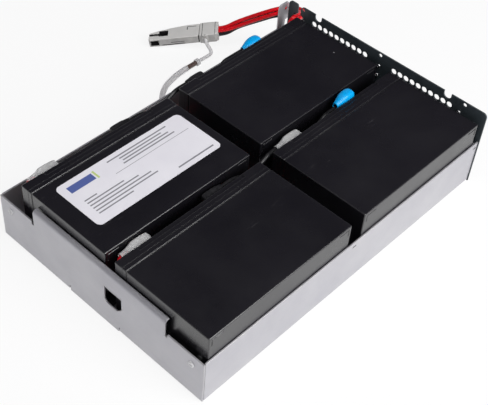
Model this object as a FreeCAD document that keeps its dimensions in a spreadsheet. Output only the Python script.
"""UPS battery cartridge: a folded zinc-plated tray with four sealed batteries lying on their sides,
two in front and two behind, wired as two series pairs to one two-pole connector on short leads.

Millimetres. +X runs along the tray from its plain end wall to the vented end plate, +Y from the front
wall to the rear wall, +Z up. The origin is the outer bottom corner of end wall and front wall, and
every part is shifted from there so that the finished cartridge stands centred on its base."""
import FreeCAD, Part
import math
import os
import re

import Sketcher

SIZES = {
    # tray: one folded sheet
    "sheet": 1.2,
    "bend_radius": 2.0,
    "tray_length": 329,
    "tray_width": 222,
    "wall_height": 45,
    "corner_gap": 0.5,
    "corner_tab": 15,
    "corner_tab_foot": 4,
    "corner_tab_head": 3,
    "end_wall_low": 44.6,
    "end_wall_high": 57.5,
    "end_rise_start": 38.5,
    "end_rise_width": 143,
    "end_lip": 4.4,
    "end_lip_radius": 3.6,
    "end_relief_width": 2.6,
    "end_relief_depth": 3.4,
    "foot_tab_start": 86.5,
    "foot_tab_width": 56,
    "foot_lift": 1.6,
    "foot_slit": 1.3,
    "foot_slit_height": 5,
    "scoop_start": 83.5,
    "scoop_width": 18.5,
    "scoop_foot": 22.8,
    "scoop_head": 34.3,
    "scoop_corner": 5,
    "scoop_lean": 2.6,
    "scoop_rise": 6.5,
    "ear_start": 319,
    "ear_reach": 4,
    "ear_height": 71.2,
    "ear_radius": 4,
    "ear_foot": 52,
    "ear_hole": 4,
    "ear_hole_from_tip": 3.6,
    "ear_hole_drop": 7,
    "wall_slot_length": 4.4,
    "wall_slot_width": 2,
    "wall_slot_drop": 5,
    "wall_slot_middle": 163,
    "wall_slot_end_inset": 3.4,
    "tether_hole_x": 186,
    "tether_hole_z": 8,
    "tether_hole_clearance": 0.6,
    # end plate
    "plate_height": 75.5,
    "plate_overlap": 0.8,
    "plate_rear_inset": 4,
    "plate_corner_radius": 4,
    "plate_flange": 12,
    "notch_width": 7.6,
    "notch_depth": 6.1,
    "notch_spread": 144,
    "lobe_hole": 3.6,
    "lobe_hole_drop": 2.8,
    "lobe_hole_spread": 180,
    "vent_hole": 5.5,
    "vent_pitch": 6.6,
    "vent_count": 10,
    "vent_drop": 11,
    "vent_spread": 92,
    "cable_hole": 17,
    "cable_hole_inset": 12.5,
    "cable_hole_z": 57.5,
    "cable_neck": 3.4,
    # batteries
    "battery_length": 151,
    "battery_height": 94,
    "battery_thickness": 65,
    "battery_corner": 3,
    "battery_edge": 1.1,
    "lid_height": 12.5,
    "lid_ledge": 4.2,
    "lid_ledge_depth": 1.1,
    "lid_ledge_inset": 20.5,
    "base_groove": 0.8,
    "base_groove_depth": 0.6,
    "base_groove_inset": 2.6,
    "end_clearance": 4,
    "side_clearance": 0.4,
    "middle_gap": 15.5,
    "row_gap": 10.2,
    "right_rear_shift": 2.6,
    "foam_thickness": 1.5,
    "foam_margin": 12,
    "valve_cover_length": 96,
    "valve_cover_width": 40,
    "valve_cover_thickness": 1.6,
    "valve_cover_clearance": 0.2,
    "valve_cover_corner": 3,
    # battery terminals and the flag connectors on them
    "terminal_first": 28,
    "terminal_pitch": 71.5,
    "terminal_drop": 6.2,
    "blade_width": 6.35,
    "blade_thickness": 0.8,
    "blade_height": 6.6,
    "blade_chamfer": 1.2,
    "blade_hole": 1.6,
    "receptacle_width": 7.6,
    "receptacle_depth": 6.6,
    "receptacle_thickness": 2.6,
    "receptacle_clearance": 0.1,
    "barrel_diameter": 3.4,
    "barrel_end": 12,
    "boot_back": 17,
    "boot_front": 8,
    "boot_depth": 8.6,
    "boot_half_height": 5.6,
    "boot_wall": 1,
    "boot_neck": 6,
    "boot_neck_half": 3.1,
    "boot_radius": 1,
    "boot_seat": 0.2,
    "bullet_depth": 9.8,
    "bullet_half_height": 8.4,
    "bullet_back": 19,
    "wire_diameter": 3.7,
    "wire_bore": 4.1,
    "wire_seat": 4.6,
    # label and rivets
    "label_length": 128,
    "label_width": 51.5,
    "label_thickness": 0.2,
    "label_corner": 4.5,
    "label_inset_x": 14.8,
    "label_inset_y": 22.3,
    "rivet_diameter": 3.2,
    "rivet_clearance": 0.1,
    "rivet_head": 5.6,
    "rivet_head_height": 1.1,
    "rivet_bore": 1.5,
    "rivet_tail": 1.2,
    "rivet_z": 35,
    "rivet_y": 12,
    "stud_head": 3.9,
    "stud_pitch": 10,
    "stud_top": 61.6,
    # two-pole connector on the leads
    "plug_length": 68.5,
    "plug_width": 26,
    "plug_height": 13.5,
    "plug_cap": 18.5,
    "plug_cap_proud": 0.4,
    "plug_cap_gap": 0.3,
    "plug_cap_chamfer": 3.5,
    "plug_taper_start": 30,
    "plug_taper": 9,
    "plug_window_start": 47,
    "plug_window_length": 10,
    "plug_window_width": 10,
    "plug_window_depth": 9,
    "plug_slot": 2.2,
    "plug_side_recess": 6.5,
    "plug_side_recess_depth": 3,
    "plug_rim": 1.2,
    "plug_edge": 1.5,
    "latch_length": 9,
    "latch_width": 6,
    "latch_groove": 1,
    "latch_groove_depth": 0.6,
    "latch_inset": 2.2,
    "contact_width": 3.6,
    "contact_length": 8.5,
    "contact_thickness": 1.2,
    "contact_spread": 5,
    "lead_pitch": 4.3,
    "lead_rise": 1.2,
    "plug_x": 298.6,
    "plug_y": 275.4,
    "plug_z": 16.68,
    "plug_yaw": 141.5,
    "plug_dip": 8.4,
    # tether from the connector to the tray
    "eyelet_along": 12,
    "eyelet_reach": 3.6,
    "eyelet_length": 4.4,
    "eyelet_height": 5,
    "tether_diameter": 3,
    "tie_head_length": 4.2,
    "tie_head_width": 5.4,
    "tie_head_height": 5.2,
    "sleeve_diameter": 4.8,
    "tether_tube_diameter": 5.6,
    "tether_tube_bore": 4,
}

document = FreeCAD.newDocument("ups_battery_cartridge")
sheet = document.addObject("Spreadsheet::Sheet", "Sizes")
for row, (alias, value) in enumerate(SIZES.items(), start=1):
    sheet.set(f"A{row}", alias)
    sheet.set(f"B{row}", str(value))
    sheet.setAlias(f"B{row}", alias)
document.recompute()

CENTRE_X = "(tray_length + ear_reach - rivet_head_height) / 2"
CENTRE_Y = "(tray_width - plate_overlap) / 2"
WORDS = re.compile(r"[a-z_]*_[a-z_]+|sheet")
PARTS = []


def cells(formula):
    """The formula with each name of the sheet written as a reference to its cell."""
    return WORDS.sub(lambda word: f"Sizes.{word.group()}" if word.group() in SIZES else word.group(), formula)


def number(formula):
    """The value of a formula over the sheet's cells."""
    return float(sheet.evalExpression(cells(formula)))


def bind(thing, **formulas):
    """Ties properties of an object to the sheet. Double underscores stand for dots."""
    for name, formula in formulas.items():
        thing.setExpression(name.replace("__", "."), cells(formula))


def place(thing, x="0", y="0", z="0"):
    """Places a part by formulas in the tray's frame, shifted so that the base is centred."""
    bind(thing, Placement__Base__x=f"{x} - {CENTRE_X}", Placement__Base__y=f"{y} - {CENTRE_Y}",
         Placement__Base__z=z)


# ---------------------------------------------------------------- sketches and features

def new_body(label):
    body = document.addObject("PartDesign::Body", label)
    body.Label = label
    place(body)
    PARTS.append(body)
    return body


def origin_part(body, role):
    return next(part for part in body.Origin.OriginFeatures if part.Role == role)


def new_sketch(body, name, plane, offset="0"):
    sketch = body.newObject("Sketcher::SketchObject", name)
    sketch.AttachmentSupport = [(origin_part(body, plane), "")]
    sketch.MapMode = "FlatFace"
    sketch.setExpression("AttachmentOffset.Base.z", cells(offset))
    return sketch


def hold(sketch, geometry, point, across, up):
    """Fixes one point of a sketch from its origin by two formulas."""
    for kind, formula in (("DistanceX", across), ("DistanceY", up)):
        here = sketch.getPoint(geometry, point)
        now = here.x if kind == "DistanceX" else here.y
        index = sketch.addConstraint(Sketcher.Constraint(kind, -1, 1, geometry, point, now))
        sketch.setExpression(f"Constraints[{index}]", cells(formula))


def outline(sketch, points):
    """A closed outline of straight lines through points given as pairs of formulas."""
    corners = [FreeCAD.Vector(number(across), number(up), 0) for across, up in points]
    first = sketch.GeometryCount
    for start, end in zip(corners, corners[1:] + corners[:1]):
        sketch.addGeometry(Part.LineSegment(start, end), False)
    last = sketch.GeometryCount
    for line in range(first, last):
        follower = line + 1 if line + 1 < last else first
        sketch.addConstraint(Sketcher.Constraint("Coincident", line, 2, follower, 1))
    for line, (across, up) in zip(range(first, last), points):
        hold(sketch, line, 1, across, up)


def rectangle(sketch, left, bottom, right, top):
    outline(sketch, [(left, bottom), (right, bottom), (right, top), (left, top)])


def circle(sketch, across, up, diameter):
    centre = FreeCAD.Vector(number(across), number(up), 0)
    ring = sketch.addGeometry(Part.Circle(centre, FreeCAD.Vector(0, 0, 1), number(diameter) / 2), False)
    hold(sketch, ring, 3, across, up)
    index = sketch.addConstraint(Sketcher.Constraint("Diameter", ring, number(diameter)))
    sketch.setExpression(f"Constraints[{index}]", cells(diameter))


def pad(body, sketch, length, reverse=False, both=False):
    feature = body.newObject("PartDesign::Pad", sketch.Name + "_pad")
    feature.Profile = sketch
    feature.Midplane = both
    feature.Reversed = reverse
    bind(feature, Length=length)
    document.recompute()
    return feature


def cut(body, sketch, length, reverse=False, both=False):
    """A pocket, which has to take something away."""
    before = body.Shape.Volume
    feature = body.newObject("PartDesign::Pocket", sketch.Name + "_cut")
    feature.Profile = sketch
    feature.Midplane = both
    feature.Reversed = reverse
    bind(feature, Length=length)
    document.recompute()
    if not feature.Shape.Volume < before:
        raise ValueError(f"{feature.Name} cuts nothing")
    return feature


def edges_along(shape, axis, **at):
    """Names of the straight edges parallel to an axis, x, y or z, whose middle lies at given places."""
    direction = dict(x=FreeCAD.Vector(1, 0, 0), y=FreeCAD.Vector(0, 1, 0), z=FreeCAD.Vector(0, 0, 1))[axis]
    names = []
    for index, edge in enumerate(shape.Edges, start=1):
        if not isinstance(edge.Curve, Part.Line) or abs(edge.Curve.Direction.dot(direction)) < 0.9999:
            continue
        middle = edge.CenterOfMass
        if all(abs(getattr(middle, name) - number(formula)) < 0.01 for name, formula in at.items()):
            names.append(f"Edge{index}")
    return names


def round_edges(body, radius, *choices):
    """A fillet on the edges that each choice, an axis with places, picks from the body's last shape."""
    base = body.Tip
    names = []
    for axis, at in choices:
        names += edges_along(base.Shape, axis, **at)
    fillet = body.newObject("PartDesign::Fillet", f"{body.Name}_round")
    fillet.Base = (base, sorted(set(names)))
    bind(fillet, Radius=radius)
    document.recompute()
    return fillet


def pattern_along(body, feature, axis, length, count):
    row = body.newObject("PartDesign::LinearPattern", feature.Name + "_row")
    row.Originals = [feature]
    row.Direction = (origin_part(body, axis), [""])
    bind(row, Length=length, Occurrences=count)
    body.Tip = row
    document.recompute()
    return row


def solid_part(label, shape):
    """A part whose shape is worked out here, where sketches and primitives do not fit."""
    part = document.addObject("Part::Feature", label)
    part.Label = label
    moved = shape.Placement.toMatrix()
    shape.Placement = FreeCAD.Placement()
    part.Shape = shape.transformed(moved, copy=True)
    place(part)
    PARTS.append(part)
    return part


# ---------------------------------------------------------------- tray

def make_tray():
    """One sheet: floor, two long walls with riveted corner tabs, the end wall with its rolled lip,
    finger scoop and foot tab, and the ear at the rear wall's plate end."""
    body = new_body("tray")
    long_start = "sheet + corner_gap"

    floor = new_sketch(body, "tray_floor", "XY_Plane")
    rectangle(floor, long_start, "0", "tray_length", "tray_width")
    pad(body, floor, "sheet")
    foot = new_sketch(body, "tray_foot", "XY_Plane")
    rectangle(foot, "0", "foot_tab_start", "2 * sheet", "foot_tab_start + foot_tab_width")
    pad(body, foot, "sheet")

    front = new_sketch(body, "tray_front_wall", "XZ_Plane")
    rectangle(front, long_start, "0", "tray_length", "wall_height")
    pad(body, front, "sheet", reverse=True)

    rear = new_sketch(body, "tray_rear_wall", "XZ_Plane", "-tray_width")
    ear_tip = "tray_length + ear_reach"
    outline(rear, [(long_start, "0"), ("tray_length", "0"), ("tray_length", "ear_foot"), (ear_tip, "ear_foot"),
                   (ear_tip, "ear_height"), ("ear_start", "ear_height"), ("ear_start", "wall_height"),
                   (long_start, "wall_height")])
    pad(body, rear, "sheet")

    end = new_sketch(body, "tray_end_wall", "YZ_Plane")
    rise_end = "end_rise_start + end_rise_width"
    relief_floor = "end_wall_low - end_relief_depth"
    foot_end = "foot_tab_start + foot_tab_width"
    outline(end, [("0", "foot_lift"), ("foot_tab_start", "foot_lift"), ("foot_tab_start", "0"), (foot_end, "0"),
                  (foot_end, "foot_lift"), ("tray_width", "foot_lift"), ("tray_width", "end_wall_low"),
                  (f"{rise_end} + end_relief_width", "end_wall_low"),
                  (f"{rise_end} + end_relief_width", relief_floor), (rise_end, relief_floor),
                  (rise_end, "end_wall_high"), ("end_rise_start", "end_wall_high"),
                  ("end_rise_start", relief_floor), ("end_rise_start - end_relief_width", relief_floor),
                  ("end_rise_start - end_relief_width", "end_wall_low"), ("0", "end_wall_low")])
    pad(body, end, "sheet")

    lip = new_sketch(body, "tray_end_lip", "XZ_Plane", "-end_rise_start")
    rectangle(lip, "0", "end_wall_high - sheet", "end_lip", "end_wall_high")
    pad(body, lip, "end_rise_width", reverse=True)

    for name, start in (("end", "sheet"), ("plate", "tray_length - sheet")):
        for side, near, far in (("front", "sheet / 2", "sheet / 2 + corner_tab"),
                                ("rear", "tray_width - sheet / 2", "tray_width - sheet / 2 - corner_tab")):
            tab = new_sketch(body, f"tray_{side}_{name}_tab", "YZ_Plane", start)
            rectangle(tab, near, "corner_tab_foot", far, "wall_height - corner_tab_head")
            pad(body, tab, "sheet")

    slits = new_sketch(body, "tray_foot_slits", "YZ_Plane")
    for middle in ("foot_tab_start", foot_end):
        rectangle(slits, f"{middle} - foot_slit / 2", "-1", f"{middle} + foot_slit / 2", "foot_slit_height")
    cut(body, slits, "2 * sheet", reverse=True)

    make_scoop(body)

    slots = new_sketch(body, "tray_front_slots", "XZ_Plane")
    slot_z = "wall_height - wall_slot_drop"
    for middle in ("wall_slot_middle", "tray_length - wall_slot_end_inset"):
        rectangle(slots, f"{middle} - wall_slot_length / 2", f"{slot_z} - wall_slot_width / 2",
                  f"{middle} + wall_slot_length / 2", f"{slot_z} + wall_slot_width / 2")
    cut(body, slots, "3 * sheet", both=True)

    holes = new_sketch(body, "tray_rear_holes", "XZ_Plane", "-tray_width")
    circle(holes, f"{ear_tip} - ear_hole_from_tip", "ear_height - ear_hole_drop", "ear_hole")
    circle(holes, "tether_hole_x", "tether_hole_z", "tether_tube_diameter + tether_hole_clearance")
    cut(body, holes, "3 * sheet", both=True)

    round_edges(body, "bend_radius", ("x", dict(y="0", z="0")), ("x", dict(y="tray_width", z="0")))
    round_edges(body, "bend_radius - sheet", ("x", dict(y="sheet", z="sheet")),
                ("x", dict(y="tray_width - sheet", z="sheet")))
    round_edges(body, "end_lip_radius", ("y", dict(x="0", z="end_wall_high")))
    round_edges(body, "end_lip_radius - sheet", ("y", dict(x="sheet", z="end_wall_high - sheet")))
    round_edges(body, "ear_radius", ("y", dict(x="ear_start", z="ear_height")),
                ("y", dict(x=ear_tip, z="ear_height")))
    return body


def make_scoop(body):
    """The finger hole in the end wall: a D below a tongue pressed inwards."""
    hole = new_sketch(body, "tray_scoop_hole", "YZ_Plane")
    scoop_end = "scoop_start + scoop_width"
    outline(hole, [("scoop_start", "scoop_foot + scoop_corner"), ("scoop_start + scoop_corner", "scoop_foot"),
                   (f"{scoop_end} - scoop_corner / 2", "scoop_foot"), (scoop_end, "scoop_foot + scoop_corner / 2"),
                   (scoop_end, "scoop_head + scoop_rise"), ("scoop_start", "scoop_head + scoop_rise")])
    cut(body, hole, "3 * sheet", both=True)
    tongue = new_sketch(body, "tray_scoop_tongue", "XZ_Plane", "-scoop_start")
    outline(tongue, [("0", "scoop_head + scoop_rise"), ("scoop_lean", "scoop_head"),
                     ("scoop_lean + sheet", "scoop_head"), ("sheet", "scoop_head + scoop_rise")])
    pad(body, tongue, "scoop_width", reverse=True)


# ---------------------------------------------------------------- end plate

def make_end_plate():
    """The vented plate at the tray's end, with its foot flange, notches, lobe holes and cable hole."""
    body = new_body("end_plate")
    place(body, "tray_length")
    rear_edge = "tray_width - plate_rear_inset"
    face = new_sketch(body, "plate_face", "YZ_Plane")
    rectangle(face, "-plate_overlap", "0", rear_edge, "plate_height")
    pad(body, face, "sheet")
    flange = new_sketch(body, "plate_flange_plan", "XY_Plane", "sheet")
    rectangle(flange, "-plate_flange", "corner_tab + 3 * sheet", "sheet / 2", "tray_width - corner_tab - 3 * sheet")
    pad(body, flange, "sheet")

    centre = "tray_width / 2"
    for side, sign in (("front", "-"), ("rear", "+")):
        notch = new_sketch(body, f"plate_{side}_notch", "YZ_Plane")
        notch_y = f"({centre} {sign} notch_spread / 2)"
        rectangle(notch, f"{notch_y} - notch_width / 2", "plate_height - notch_depth",
                  f"{notch_y} + notch_width / 2", "plate_height + sheet")
        cut(body, notch, "3 * sheet", both=True)
        round_edges(body, "notch_width / 2 - 0.1",
                    ("x", dict(y=f"{notch_y} - notch_width / 2", z="plate_height - notch_depth")),
                    ("x", dict(y=f"{notch_y} + notch_width / 2", z="plate_height - notch_depth")))

        vent = new_sketch(body, f"plate_{side}_vent", "YZ_Plane")
        row_start = f"{centre} {sign} vent_spread / 2 - (vent_count - 1) * vent_pitch / 2"
        circle(vent, row_start, "plate_height - vent_drop", "vent_hole")
        first = cut(body, vent, "3 * sheet", both=True)
        pattern_along(body, first, "Y_Axis", "(vent_count - 1) * vent_pitch", "vent_count")

    lobes = new_sketch(body, "plate_lobe_holes", "YZ_Plane")
    for offset in ("- lobe_hole_spread / 2", "+ 0", "+ lobe_hole_spread / 2"):
        circle(lobes, f"{centre} {offset}", "plate_height - lobe_hole_drop", "lobe_hole")
    cut(body, lobes, "3 * sheet", both=True)

    cable_y = f"({rear_edge} - cable_hole_inset)"
    cable = new_sketch(body, "plate_cable_hole", "YZ_Plane")
    circle(cable, cable_y, "cable_hole_z", "cable_hole")
    cut(body, cable, "3 * sheet", both=True)
    neck = new_sketch(body, "plate_cable_neck", "YZ_Plane")
    rectangle(neck, f"{cable_y} - cable_neck / 2", "cable_hole_z", f"{cable_y} + cable_neck / 2", "plate_height + 1")
    cut(body, neck, "3 * sheet", both=True)

    round_edges(body, "plate_corner_radius", ("x", dict(y="-plate_overlap", z="plate_height")),
                ("x", dict(y=rear_edge, z="plate_height")),
                ("x", dict(y=f"{cable_y} - cable_neck / 2", z="plate_height")))
    round_edges(body, "plate_corner_radius / 2", ("x", dict(y=f"{cable_y} + cable_neck / 2", z="plate_height")))
    return body


# ---------------------------------------------------------------- rivets

def rivet(centre, direction, grip, head):
    """A hollow rivet: a domed head on the near side of a stack of sheets and its set tail behind."""
    height = number("rivet_head_height")
    shank = number("rivet_diameter") / 2
    bore = number("rivet_bore") / 2
    tail = number("rivet_tail")
    rim = head / 2
    profile = Part.makePolygon([FreeCAD.Vector(bore, 0, -grip - tail), FreeCAD.Vector(rim * 0.8, 0, -grip - tail),
                                FreeCAD.Vector(rim * 0.8, 0, -grip), FreeCAD.Vector(shank, 0, -grip),
                                FreeCAD.Vector(shank, 0, 0), FreeCAD.Vector(rim, 0, 0)])
    dome = Part.Arc(FreeCAD.Vector(rim, 0, 0), FreeCAD.Vector(rim * 0.75, 0, height * 0.75),
                    FreeCAD.Vector(bore, 0, height)).toShape()
    inside = Part.makeLine(FreeCAD.Vector(bore, 0, height), FreeCAD.Vector(bore, 0, -grip - tail))
    face = Part.Face(Part.Wire(profile.Edges + [dome, inside]))
    turned = face.revolve(FreeCAD.Vector(0, 0, 0), FreeCAD.Vector(0, 0, 1), 360)
    turned.Placement = FreeCAD.Placement(centre, FreeCAD.Rotation(FreeCAD.Vector(0, 0, 1), direction))
    return turned


def make_corner_rivets():
    """Four rivets through the corner tabs: two in the end wall, two in the end plate."""
    stack = 2 * number("sheet")
    solids = []
    for y in (number("rivet_y"), number("tray_width - rivet_y")):
        solids.append(rivet(FreeCAD.Vector(0, y, number("rivet_z")), FreeCAD.Vector(-1, 0, 0), stack,
                            number("rivet_head")))
        solids.append(rivet(FreeCAD.Vector(number("tray_length + sheet"), y, number("rivet_z")),
                            FreeCAD.Vector(1, 0, 0), stack, number("rivet_head")))
    return solid_part("corner_rivets", Part.makeCompound(solids))


def make_plate_studs():
    """The small rivets set in the end plate alone, with their heads towards the batteries."""
    middle = number("tray_width / 2")
    spots = [(middle, number("stud_top")), (middle, number("stud_top - stud_pitch")),
             (number("tray_width / 2 - lobe_hole_spread / 2 + 4"), number("stud_top + 1.2"))]
    solids = [rivet(FreeCAD.Vector(number("tray_length"), y, z), FreeCAD.Vector(-1, 0, 0), number("sheet"),
                    number("stud_head")) for y, z in spots]
    return solid_part("plate_studs", Part.makeCompound(solids))


def pierce(body, name, plane, spots, offset):
    """Round holes for rivets through the sheets at given spots."""
    sketch = new_sketch(body, name, plane, offset)
    for across, up in spots:
        circle(sketch, across, up, "rivet_diameter + rivet_clearance")
    cut(body, sketch, "5 * sheet", both=True)


# ---------------------------------------------------------------- batteries

BATTERIES = {
    "front_left": ("sheet + end_clearance", "sheet + side_clearance"),
    "front_right": ("sheet + end_clearance + battery_length + middle_gap", "sheet + side_clearance"),
    "rear_left": ("sheet + end_clearance", "sheet + side_clearance + battery_height + row_gap"),
    "rear_right": ("sheet + end_clearance + battery_length + middle_gap",
                   "sheet + side_clearance + battery_height + row_gap + right_rear_shift"),
}
BATTERY_Z = "sheet + foam_thickness"


def make_case(name, x, y):
    """A battery case lying on its side, its base towards -Y."""
    body = new_body(f"{name}_case")
    place(body, x, y, BATTERY_Z)
    plan = new_sketch(body, f"{name}_case_plan", "XY_Plane")
    rectangle(plan, "0", "0", "battery_length", "battery_height - lid_height")
    pad(body, plan, "battery_thickness")
    round_edges(body, "battery_corner", ("y", dict(x="0", z="0")), ("y", dict(x="0", z="battery_thickness")),
                ("y", dict(x="battery_length", z="0")), ("y", dict(x="battery_length", z="battery_thickness")))
    groove = new_sketch(body, f"{name}_case_groove", "XZ_Plane")
    for inset in ("base_groove_inset", "base_groove_inset + base_groove"):
        rectangle(groove, inset, inset, f"battery_length - ({inset})", f"battery_thickness - ({inset})")
    cut(body, groove, "base_groove_depth")
    return body


def make_lid(name, x, y):
    """The lid on the case, with its long ledges, the valve cover's recess and the terminals' slots."""
    body = new_body(f"{name}_lid")
    place(body, x, f"{y} + battery_height - lid_height", BATTERY_Z)
    plan = new_sketch(body, f"{name}_lid_plan", "XY_Plane")
    rectangle(plan, "0", "0", "battery_length", "lid_height")
    pad(body, plan, "battery_thickness")
    round_edges(body, "battery_corner", ("y", dict(x="0", z="0")), ("y", dict(x="0", z="battery_thickness")),
                ("y", dict(x="battery_length", z="0")), ("y", dict(x="battery_length", z="battery_thickness")))
    ledges = new_sketch(body, f"{name}_lid_ledges", "XZ_Plane", "-lid_height")
    for low, high in (("-1", "lid_ledge_depth"), ("battery_thickness - lid_ledge_depth", "battery_thickness + 1")):
        rectangle(ledges, "lid_ledge_inset", low, "battery_length - lid_ledge_inset", high)
    cut(body, ledges, "lid_ledge", reverse=True)
    recess = new_sketch(body, f"{name}_lid_recess", "XZ_Plane", "-lid_height")
    margin = "valve_cover_clearance"
    rectangle(recess, f"(battery_length - valve_cover_length) / 2 - {margin}",
              f"(battery_thickness - valve_cover_width) / 2 - terminal_drop / 2 - {margin}",
              f"(battery_length + valve_cover_length) / 2 + {margin}",
              f"(battery_thickness + valve_cover_width) / 2 - terminal_drop / 2 + {margin}")
    cut(body, recess, "valve_cover_thickness", reverse=True)
    return body


def make_valve_cover(name, x, y):
    """The flat strip welded over the valves, flush in the lid."""
    body = new_body(f"{name}_valve_cover")
    place(body, x, f"{y} + battery_height - valve_cover_thickness", BATTERY_Z)
    face = new_sketch(body, f"{name}_valve_face", "XZ_Plane")
    rectangle(face, "(battery_length - valve_cover_length) / 2",
              "(battery_thickness - valve_cover_width) / 2 - terminal_drop / 2",
              "(battery_length + valve_cover_length) / 2",
              "(battery_thickness + valve_cover_width) / 2 - terminal_drop / 2")
    pad(body, face, "valve_cover_thickness", reverse=True)
    return body


def terminal_spot(x, y, which):
    """Formulas of a terminal's place on the lid face: 0 is the first terminal, 1 the second."""
    return (f"{x} + terminal_first + {which} * terminal_pitch", f"{y} + battery_height",
            f"{BATTERY_Z} + battery_thickness - terminal_drop")


def make_blade(label, spot):
    """A tab terminal: a flat blade with a chamfered nose and a locking hole."""
    body = new_body(label)
    place(body, *spot)
    face = new_sketch(body, f"{label}_face", "XY_Plane")
    outline(face, [("-blade_width / 2", "0"), ("blade_width / 2", "0"),
                   ("blade_width / 2", "blade_height - blade_chamfer"),
                   ("blade_width / 2 - blade_chamfer", "blade_height"),
                   ("-blade_width / 2 + blade_chamfer", "blade_height"),
                   ("-blade_width / 2", "blade_height - blade_chamfer")])
    circle(face, "0", "blade_height / 2", "blade_hole")
    pad(body, face, "blade_thickness", both=True)
    return body


def turn_over(body):
    """Turns a flag connector so that its wire leaves towards +X."""
    turn = FreeCAD.Rotation(FreeCAD.Vector(0, 1, 0), 180)
    body.Placement = FreeCAD.Placement(body.Placement.Base, turn)


def hollow_boot(body, label, back, depth, half_height):
    """The cavity of a boot, open towards the lid, and the bore that its wire comes in by."""
    room = new_sketch(body, f"{label}_room", "XZ_Plane", "-boot_seat")
    half = f"({half_height} - boot_wall)"
    rectangle(room, "-boot_neck", f"-{half}", "boot_front - boot_wall", half)
    cut(body, room, f"{depth} - boot_wall")
    bore = new_sketch(body, f"{label}_bore", "YZ_Plane", f"-{back}")
    circle(bore, "wire_seat", "0", "wire_bore")
    cut(body, bore, f"{back} - boot_neck + 0.1", reverse=True)


def make_square_boot(label, spot):
    """A clear cover over a flag connector: a box over the blade and a narrower neck for the wire."""
    body = new_body(label)
    place(body, *spot)
    box = new_sketch(body, f"{label}_box", "XY_Plane")
    rectangle(box, "-boot_neck - boot_wall", "boot_seat", "boot_front", "boot_seat + boot_depth")
    pad(body, box, "2 * boot_half_height", both=True)
    neck = new_sketch(body, f"{label}_neck", "YZ_Plane", "-boot_back")
    rectangle(neck, "wire_seat - boot_neck_half", "-boot_neck_half", "wire_seat + boot_neck_half", "boot_neck_half")
    pad(body, neck, "boot_back - boot_neck")
    hollow_boot(body, label, "boot_back", "boot_depth", "boot_half_height")
    return body


def make_bullet_boot(label, spot):
    """A moulded boot over a flag connector, tapering to the wire in plan and from the side."""
    body = new_body(label)
    place(body, *spot)
    plan = new_sketch(body, f"{label}_plan", "XY_Plane")
    top = "boot_seat + bullet_depth"
    outline(plan, [("-bullet_back", "wire_seat - boot_neck_half"), ("-boot_neck - boot_wall", "boot_seat"),
                   ("boot_front", "boot_seat"), ("boot_front", f"{top} - 2 * boot_wall"),
                   ("boot_front - 3 * boot_wall", top), ("-boot_neck", top),
                   ("-bullet_back", "wire_seat + boot_neck_half")])
    pad(body, plan, "2 * bullet_half_height", both=True)
    for side, sign in (("under", "-"), ("over", "")):
        taper = new_sketch(body, f"{label}_{side}", "XZ_Plane", f"-({top})")
        outline(taper, [("-bullet_back - 1", f"{sign}(bullet_half_height + 1)"),
                        ("-boot_neck", f"{sign}(bullet_half_height + 1)"),
                        ("-boot_neck", f"{sign}bullet_half_height"),
                        ("-bullet_back", f"{sign}boot_neck_half"), ("-bullet_back - 1", f"{sign}boot_neck_half")])
        cut(body, taper, "bullet_depth + 1", reverse=True)
        nose = new_sketch(body, f"{label}_{side}_nose", "XZ_Plane", f"-({top})")
        outline(nose, [("boot_front + 1", f"{sign}(bullet_half_height + 1)"),
                       ("boot_front - 3 * boot_wall", f"{sign}(bullet_half_height + 1)"),
                       ("boot_front - 3 * boot_wall", f"{sign}bullet_half_height"),
                       ("boot_front", f"{sign}(bullet_half_height - 3 * boot_wall)"),
                       ("boot_front + 1", f"{sign}(bullet_half_height - 3 * boot_wall)")])
        cut(body, nose, "bullet_depth + 1", reverse=True)
    hollow_boot(body, label, "bullet_back", "bullet_depth", "boot_half_height")
    return body


def receptacle(spot, turned):
    """A flag receptacle: a folded box that grips the blade, and the crimped barrel beside it."""
    wide = number("receptacle_width")
    deep = number("receptacle_depth")
    thick = number("receptacle_thickness")
    slack = number("receptacle_clearance")
    body = Part.makeBox(wide, deep, thick, FreeCAD.Vector(-wide / 2, number("2 * boot_seat"), -thick / 2))
    blade = Part.makeBox(number("blade_width") + 2 * slack, deep, number("blade_thickness") + 2 * slack,
                         FreeCAD.Vector(-number("blade_width") / 2 - slack, 0,
                                        -number("blade_thickness") / 2 - slack))
    barrel = Part.makeCylinder(number("barrel_diameter / 2"), number("barrel_end") - wide / 2 + 0.2,
                               FreeCAD.Vector(-number("barrel_end"), number("wire_seat"), 0),
                               FreeCAD.Vector(1, 0, 0))
    shape = body.fuse(barrel).cut(blade)
    turn = FreeCAD.Rotation(FreeCAD.Vector(0, 1, 0), 180 if turned else 0)
    shape.Placement = FreeCAD.Placement(FreeCAD.Vector(*[number(formula) for formula in spot]), turn)
    return shape


def make_label(x, y):
    body = new_body("label")
    place(body, f"{x} + label_inset_x", f"{y} + label_inset_y", f"{BATTERY_Z} + battery_thickness")
    plan = new_sketch(body, "label_plan", "XY_Plane")
    rectangle(plan, "0", "0", "label_length", "label_width")
    pad(body, plan, "label_thickness")
    corners = [("z", dict(x=across, y=up)) for across in ("0", "label_length") for up in ("0", "label_width")]
    round_edges(body, "label_corner", *corners)
    return body


def make_foam():
    """One foam pad, sticky on both faces, between each battery and the tray's floor."""
    margin = number("foam_margin")
    pads = []
    for x, y in BATTERIES.values():
        corner = FreeCAD.Vector(number(x) + margin, number(y) + margin, number("sheet"))
        pads.append(Part.makeBox(number("battery_length") - 2 * margin,
                                 number("battery_height - lid_height") - 2 * margin,
                                 number("foam_thickness"), corner))
    return solid_part("foam_pads", Part.makeCompound(pads))


# ---------------------------------------------------------------- wires

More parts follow.
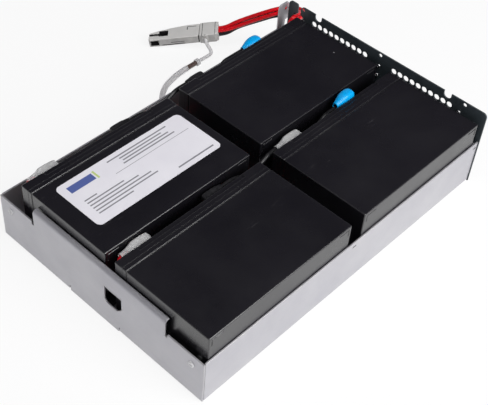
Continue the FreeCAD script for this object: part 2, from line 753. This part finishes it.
def point(x, y, z):
    """A point of the tray's frame from three formulas or numbers."""
    return FreeCAD.Vector(*[number(value) if isinstance(value, str) else value for value in (x, y, z)])


def tube(points, diameter, largest=None):
    """A wire along straight runs joined by tangent arcs, with the length of its centre line and its
    smallest radius. Each arc is as large as its two runs allow, or `largest` where a wire is held: there
    an arc may take up nearly all of an end run."""
    edges = []
    here = points[0]
    smallest = math.inf
    length = 0
    for index, (before, corner, after) in enumerate(zip(points, points[1:], points[2:])):
        inward = (before - corner).normalize()
        outward = (after - corner).normalize()
        half_turn = (math.pi - inward.getAngle(outward)) / 2
        first_share = 0.72 if largest and index == 0 else 0.45
        last_share = 0.72 if largest and index == len(points) - 3 else 0.45
        room = min((before - corner).Length * first_share, (after - corner).Length * last_share)
        radius = room / math.tan(half_turn)
        if largest:
            radius = min(radius, largest)
        smallest = min(smallest, radius)
        reach = radius * math.tan(half_turn)
        start = corner + inward * reach
        end = corner + outward * reach
        sagitta = radius / math.cos(half_turn) - radius
        middle = corner + (inward + outward).normalize() * sagitta
        edges.append(Part.LineSegment(here, start).toShape())
        edges.append(Part.Arc(start, middle, end).toShape())
        length += (start - here).Length + 2 * radius * half_turn
        here = end
    edges.append(Part.LineSegment(here, points[-1]).toShape())
    length += (points[-1] - here).Length
    path = Part.Wire(edges)
    along = (points[1] - points[0]).normalize()
    section = Part.Wire(Part.makeCircle(diameter / 2, points[0], along))
    solid = path.makePipeShell([section], True, False)
    return solid, length, smallest


def make_wire(label, points, diameter="wire_diameter", largest=None):
    thickness = number(diameter)
    solid, length, radius = tube(points, thickness, largest)
    expected = math.pi * thickness ** 2 / 4 * length
    print(f"{label}: length {length:.1f}, smallest radius {radius:.1f} = {radius / thickness:.1f} diameters,"
          f" volume {solid.Volume / expected:.4f} of section times length")
    return solid_part(label, solid)


def beside(points, rolls, sign):
    """The route of one wire of a pair: half a pitch to one side of the pair's centre line. A roll of
    0 degrees lays the pair flat, 90 degrees stands one on the other."""
    up = FreeCAD.Vector(0, 0, 1)
    route = []
    for index, (spot, roll) in enumerate(zip(points, rolls)):
        runs = [(end - start).normalize() for start, end in zip(points, points[1:])]
        before = runs[max(index - 1, 0)]
        after = runs[min(index, len(runs) - 1)]
        mitre = 1 / math.cos(before.getAngle(after) / 2)
        along = (before + after).normalize()
        side = along.cross(up).normalize()
        lift = side.cross(along)
        angle = math.radians(roll)
        offset = side * (math.cos(angle) * mitre) + lift * math.sin(angle)
        route.append(spot + offset * (sign * number("lead_pitch") / 2))
    return route


def plug_placement():
    """The connector's own frame: x from the cap's end to the tips, y towards the tray, z up."""
    turn = FreeCAD.Rotation(number("plug_yaw"), number("plug_dip"), 0)
    return FreeCAD.Placement(point("plug_x", "plug_y", "plug_z"), turn)


def lead_routes():
    """Four leads, from the cable hole round the ear and down to the connector's cap."""
    plug = plug_placement()
    red_end = plug.multVec(FreeCAD.Vector(0, 0, number("lead_rise + lead_pitch / 2")))
    black_end = plug.multVec(FreeCAD.Vector(0, 0, number("lead_rise - lead_pitch / 2")))
    back = plug.Rotation.multVec(FreeCAD.Vector(-7, 0, 0))
    red = [(330.3, 208, 60.5), (342, 209.3, 58), (349, 218.3, 53.5), (347.5, 230.5, 50.5), (338.5, 240.5, 46),
           (327.5, 249.5, 39.8), (318, 260, 31.6), (311.5, 266.3, 26.4)]
    black = [(330.3, 208, 54), (342, 209.3, 51.5), (349, 218.3, 46.5), (347.5, 230.5, 42), (338.5, 240.5, 36.5),
             (327.5, 249.5, 30.5), (318, 260, 25), (311.5, 266.3, 21)]
    red = [FreeCAD.Vector(*spot) for spot in red] + [red_end + back, red_end]
    black = [FreeCAD.Vector(*spot) for spot in black] + [black_end + back, black_end]
    red_rolls = [0, 0, 10, 25, 45, 60, 60, 45, 0, 0]
    black_rolls = [0, 0, 0, 0, 10, 20, 20, 10, 0, 0]
    return {"red_lead_1": beside(red, red_rolls, 1), "red_lead_2": beside(red, red_rolls, -1),
            "black_lead_1": beside(black, black_rolls, -1), "black_lead_2": beside(black, black_rolls, 1)}


def make_wiring():
    """The harness: leads, the wires from them to the batteries, and the two jumpers."""
    routes = lead_routes()
    for label, route in routes.items():
        make_wire(label, route)

    def arriving(lead):
        """The last two points of a wire that goes on as a lead."""
        first, second = routes[lead][:2]
        return [first - (second - first).normalize() * 12, first]

    bend = number("3 * wire_diameter")
    start = {}
    for name, (x, y) in BATTERIES.items():
        for which in (0, 1):
            spot = point(*terminal_spot(x, y, which))
            turned = which == 1 and name.endswith("left")
            away = number("barrel_end") if turned else -number("barrel_end")
            start[name, which] = spot + FreeCAD.Vector(away, number("wire_seat"), 0)

    def step(spot, x=0, y=0, z=0):
        return spot + FreeCAD.Vector(x, y, z)

    spot = start["front_left", 0]
    near_end = spot.x - number("sheet") - 6.2
    low = step(spot, -near_end, 0, -2 * bend - 9)
    route = [spot, step(spot, -near_end), low, FreeCAD.Vector(161, low.y, low.z), FreeCAD.Vector(161, 150, 38),
             FreeCAD.Vector(161, 212.5, 45), FreeCAD.Vector(262, 212.5, 45), FreeCAD.Vector(292, 209.5, 56)]
    make_wire("red_wire_1", route + arriving("red_lead_1"), largest=bend)

    spot = start["rear_left", 0]
    near_end = spot.x - number("sheet") - 6.2
    low = step(spot, -near_end, 0, -2 * bend)
    route = [spot, step(spot, -near_end), low, step(low, 40), FreeCAD.Vector(120, 216.8, 45),
             FreeCAD.Vector(262, 216.8, 45), FreeCAD.Vector(292, 214, 56)]
    make_wire("red_wire_2", route + arriving("red_lead_2"), largest=bend)

    spot = start["front_right", 1]
    route = [spot, step(spot, -16), step(spot, -48, 0, -19), FreeCAD.Vector(194, spot.y, 37),
             FreeCAD.Vector(167, spot.y, 35), FreeCAD.Vector(167, 150, 33), FreeCAD.Vector(167, 211.5, 33),
             FreeCAD.Vector(276, 211.5, 33), FreeCAD.Vector(300, 211.5, 45)]
    make_wire("black_wire_1", route + arriving("black_lead_1"), largest=bend)

    spot = start["rear_right", 1]
    turn_back = step(spot, -34)
    low = step(turn_back, 0, 0, -2 * bend)
    route = [spot, turn_back, low, FreeCAD.Vector(280, spot.y, low.z), FreeCAD.Vector(302, 206, 49)]
    make_wire("black_wire_2", route + arriving("black_lead_2"), largest=bend)

    for side in ("front", "rear"):
        first = start[f"{side}_left", 1]
        last = start[f"{side}_right", 0]
        route = [first, step(first, 15), step(first, 29, 0, -7), step(last, -29, 0, -7), step(last, -15), last]
        make_wire(f"{side}_jumper", route, largest=2 * bend)


# ---------------------------------------------------------------- connector

def lay(body, placement):
    """Lays a part of the connector at its place, in the frame with the centred base."""
    body.setExpression("Placement.Base.x", None)
    body.setExpression("Placement.Base.y", None)
    body.setExpression("Placement.Base.z", None)
    centre = point(CENTRE_X, CENTRE_Y, 0)
    body.Placement = FreeCAD.Placement(placement.Base - centre, placement.Rotation)


def make_plug():
    """The housing with its forked end, the cap at the wire end, and the two contacts."""
    plug = plug_placement()
    housing = new_body("connector_housing")
    plan = new_sketch(housing, "housing_plan", "XY_Plane")
    near = "plug_width / 2"
    joint = "plug_cap + plug_cap_gap"
    outline(plan, [(joint, f"-{near}"), ("plug_taper_start", f"-{near}"),
                   ("plug_window_start", f"-{near} + plug_taper / 4"), ("plug_length", f"-{near} + plug_taper"),
                   ("plug_length", near), (joint, near)])
    pad(housing, plan, "plug_height", both=True)
    edges = [("x", dict(y=side, z=level)) for side in (f"-{near}", near)
             for level in ("-plug_height / 2", "plug_height / 2")]
    round_edges(housing, "plug_edge", *edges)
    window = new_sketch(housing, "housing_window", "XY_Plane", "plug_height / 2")
    window_end = "plug_window_start + plug_window_length"
    window_side = f"-{near} + plug_taper / 2 + plug_rim"
    rectangle(window, "plug_window_start", window_side, window_end, f"{window_side} + plug_window_width")
    cut(housing, window, "plug_window_depth")
    slot = new_sketch(housing, "housing_slot", "XY_Plane", "plug_height / 2")
    slot_side = f"{window_side} + plug_window_width / 2"
    rectangle(slot, f"{window_end} - 1", slot_side, "plug_length + 1", f"{slot_side} + plug_slot")
    cut(housing, slot, "plug_height + 1")
    recess = new_sketch(housing, "housing_side_recess", "XZ_Plane", f"-({near})")
    rectangle(recess, "plug_length - plug_rim - plug_side_recess", "-plug_height / 2 + 2 * plug_rim",
              "plug_length - plug_rim", "plug_height / 2 - plug_rim")
    cut(housing, recess, "plug_side_recess_depth", reverse=True)
    latch = new_sketch(housing, "housing_latch", "XY_Plane", "plug_height / 2")
    latch_x = f"{joint} + 3"
    latch_y = f"-{near} + latch_inset"
    outline(latch, [(latch_x, latch_y), (f"{latch_x} + latch_length", latch_y),
                    (f"{latch_x} + latch_length", f"{latch_y} + latch_groove"),
                    (f"{latch_x} + latch_groove", f"{latch_y} + latch_groove"),
                    (f"{latch_x} + latch_groove", f"{latch_y} + latch_width"),
                    (latch_x, f"{latch_y} + latch_width")])
    cut(housing, latch, "latch_groove_depth")
    lay(housing, plug)

    cap = new_body("connector_cap")
    cap_plan = new_sketch(cap, "cap_plan", "XY_Plane")
    proud = f"({near} + plug_cap_proud)"
    outline(cap_plan, [("0", f"-{proud}"), ("plug_cap", f"-{proud}"), ("plug_cap", proud),
                       ("plug_cap_chamfer", proud), ("0", f"{proud} - plug_cap_chamfer")])
    pad(cap, cap_plan, "plug_height + 2 * plug_cap_proud", both=True)
    level = "(plug_height / 2 + plug_cap_proud)"
    round_edges(cap, "plug_edge", ("x", dict(y=f"-{proud}", z=level)), ("x", dict(y=f"-{proud}", z=f"-{level}")),
                ("x", dict(y=proud, z=level)), ("x", dict(y=proud, z=f"-{level}")))
    eyelet = new_sketch(cap, "cap_eyelet", "XY_Plane")
    rectangle(eyelet, "eyelet_along - eyelet_length / 2", f"{proud} - 1", "eyelet_along + eyelet_length / 2",
              f"{proud} + eyelet_reach")
    pad(cap, eyelet, "eyelet_height", both=True)
    lay(cap, plug)

    for index, sign in (("1", "-"), ("2", "+")):
        contact = new_body(f"connector_contact_{index}")
        blade = new_sketch(contact, f"contact_{index}_plan", "XY_Plane", "plug_height / 2 - plug_window_depth")
        middle = f"{window_side} + plug_window_width / 2 {sign} contact_spread / 2"
        rectangle(blade, "plug_window_start", f"{middle} - contact_width / 2",
                  "plug_window_start + contact_length", f"{middle} + contact_width / 2")
        pad(contact, blade, "contact_thickness")
        lay(contact, plug)


def make_tether():
    """The tether: a cord from the cap's eyelet, a tie, a sleeve, and a soft tube into the tray."""
    plug = plug_placement()
    across = number("plug_width / 2 + plug_cap_proud + eyelet_reach / 2")
    eyelet = plug.multVec(FreeCAD.Vector(number("eyelet_along"), across, number("-eyelet_height / 2")))
    down = plug.Rotation.multVec(FreeCAD.Vector(0, 0, -1))
    hose = number("tether_tube_diameter / 2")
    head = point(269.6, 273.6, hose)
    run = point(253.3, 273.3, hose) - head
    along = FreeCAD.Vector(run).normalize()
    cord = [eyelet, eyelet + down * 4, point(278, 273, 4.6), head - along * 4, head]
    make_wire("tether_cord", cord, "tether_diameter")
    turn = FreeCAD.Rotation(FreeCAD.Vector(1, 0, 0), along)
    length = number("tie_head_length")
    wide = number("tie_head_width")
    high = number("tie_head_height")
    block = Part.makeBox(length, wide, high, FreeCAD.Vector(0, -wide / 2, -hose))
    block = block.makeFillet(0.8, [edge for edge in block.Edges if abs(edge.tangentAt(0).x) > 0.9])
    block.Placement = FreeCAD.Placement(head, turn)
    solid_part("tether_tie", block)
    sleeve_start = head + along * length
    sleeve_end = head + run
    sleeve = Part.makeCylinder(number("sleeve_diameter / 2"), (sleeve_end - sleeve_start).Length, sleeve_start, along)
    solid_part("tether_sleeve", sleeve)
    end = point("tether_hole_x", "tray_width - 2.6 * sheet", "tether_hole_z")
    outside = point("tether_hole_x", "tray_width + 4.5", "tether_hole_z")
    tube_route = [sleeve_end, sleeve_end + along * 10, point(232, 271, hose), point(221.3, 268.2, hose),
                  point(211.8, 262.9, hose), point(204, 256, hose), point(197.4, 248.8, hose),
                  point(191.8, 241.5, 4), point(187.6, 234, 6.6), outside, end]
    make_wire("tether_tube", tube_route, "tether_tube_diameter")


# ---------------------------------------------------------------- the cartridge

tray = make_tray()
end_plate = make_end_plate()
rivet_spots = [("rivet_y", "rivet_z"), ("tray_width - rivet_y", "rivet_z")]
pierce(tray, "tray_end_rivet_holes", "YZ_Plane", rivet_spots, "sheet")
pierce(tray, "tray_plate_rivet_holes", "YZ_Plane", rivet_spots, "tray_length")
pierce(end_plate, "plate_rivet_holes", "YZ_Plane", rivet_spots, "0")
stud_spots = [("tray_width / 2", "stud_top"), ("tray_width / 2", "stud_top - stud_pitch"),
              ("tray_width / 2 - lobe_hole_spread / 2 + 4", "stud_top + 1.2")]
pierce(end_plate, "plate_stud_holes", "YZ_Plane", stud_spots, "0")
make_corner_rivets()
make_plate_studs()
make_foam()

for name, (x, y) in BATTERIES.items():
    make_case(name, x, y)
    make_lid(name, x, y)
    make_valve_cover(name, x, y)
make_label(*BATTERIES["rear_left"])

receptacles = []
for name, (x, y) in BATTERIES.items():
    for which in (0, 1):
        spot = terminal_spot(x, y, which)
        make_blade(f"{name}_tab_{which + 1}", spot)
        turned = which == 1 and name.endswith("left")
        receptacles.append(receptacle(spot, turned))
        boot_label = f"{name}_boot_{which + 1}"
        if which == 0:
            make_square_boot(boot_label, spot)
        else:
            boot = make_bullet_boot(boot_label, spot)
            if turned:
                turn_over(boot)
solid_part("flag_receptacles", Part.makeCompound(receptacles))

make_wiring()
make_plug()
make_tether()

document.recompute()
for thing in document.Objects:
    if "Invalid" in thing.State or "Error" in thing.State:
        raise ValueError(f"{thing.Name} is {thing.State}")
os.makedirs("parts", exist_ok=True)
for part in PARTS:
    if part.Shape.isNull() or not part.Shape.isValid() or part.Shape.Volume <= 0:
        raise ValueError(f"{part.Label} has no good shape")
    part.Shape.exportStep(f"parts/{part.Label}.step")
print(f"{len(PARTS)} parts written")
